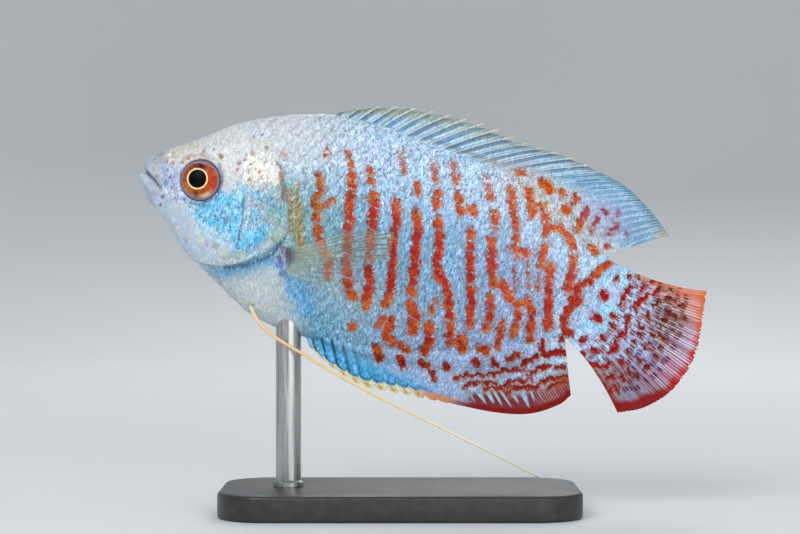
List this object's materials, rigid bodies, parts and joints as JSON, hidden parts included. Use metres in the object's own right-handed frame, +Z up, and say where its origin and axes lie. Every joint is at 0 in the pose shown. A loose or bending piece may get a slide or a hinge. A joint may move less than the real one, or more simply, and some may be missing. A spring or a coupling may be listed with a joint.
{
  "type": "dwarf gourami",
  "caption": "Life-size still model of a male dwarf gourami, nose slightly up, on a flat base with one upright rod.",
  "frame": {"origin": "centre of the stand base's underside, on the surface that it rests on", "axes": "+Z up, +X towards the tail, -X towards the snout; the fish's left side faces -Y"},
  "size_m": [0.0795, 0.028, 0.0568],
  "materials": {
    "head_skin": "moist pearly skin, grey-cream above and pale below",
    "gill_cover_skin": "moist skin with a bright cyan-blue sheen",
    "body_skin": "silvery blue scales with orange-red bars",
    "eye": "clear, wet eye with an orange-red iris and a black pupil",
    "dorsal_fin": "thin blue membrane with pale spines and red spots behind",
    "anal_fin": "blue in front, red lines and a red edge behind",
    "caudal_fin": "pale blue membrane with rows of red spots and a red edge",
    "pectoral_fin": "thin clear membrane with fine rays",
    "feeler": "smooth cream thread, paler to the tip",
    "stand_base": "dark satin plate",
    "stand_rod": "fine brushed rod"
  },
  "bodies": {
    "root": {"head": "head_skin", "lower_jaw": "head_skin", "gill_cover_left": "gill_cover_skin", "gill_cover_right": "gill_cover_skin", "eye_left": "eye", "eye_right": "eye", "torso": "body_skin", "tail_stalk": "body_skin", "dorsal_fin": "dorsal_fin", "anal_fin": "anal_fin", "caudal_fin": "caudal_fin", "pectoral_fin_left": "pectoral_fin", "pectoral_fin_right": "pectoral_fin", "pelvic_feeler_left": "feeler", "pelvic_feeler_right": "feeler", "stand_base": "stand_base", "stand_rod": "stand_rod"}
  },
  "joints": []
}
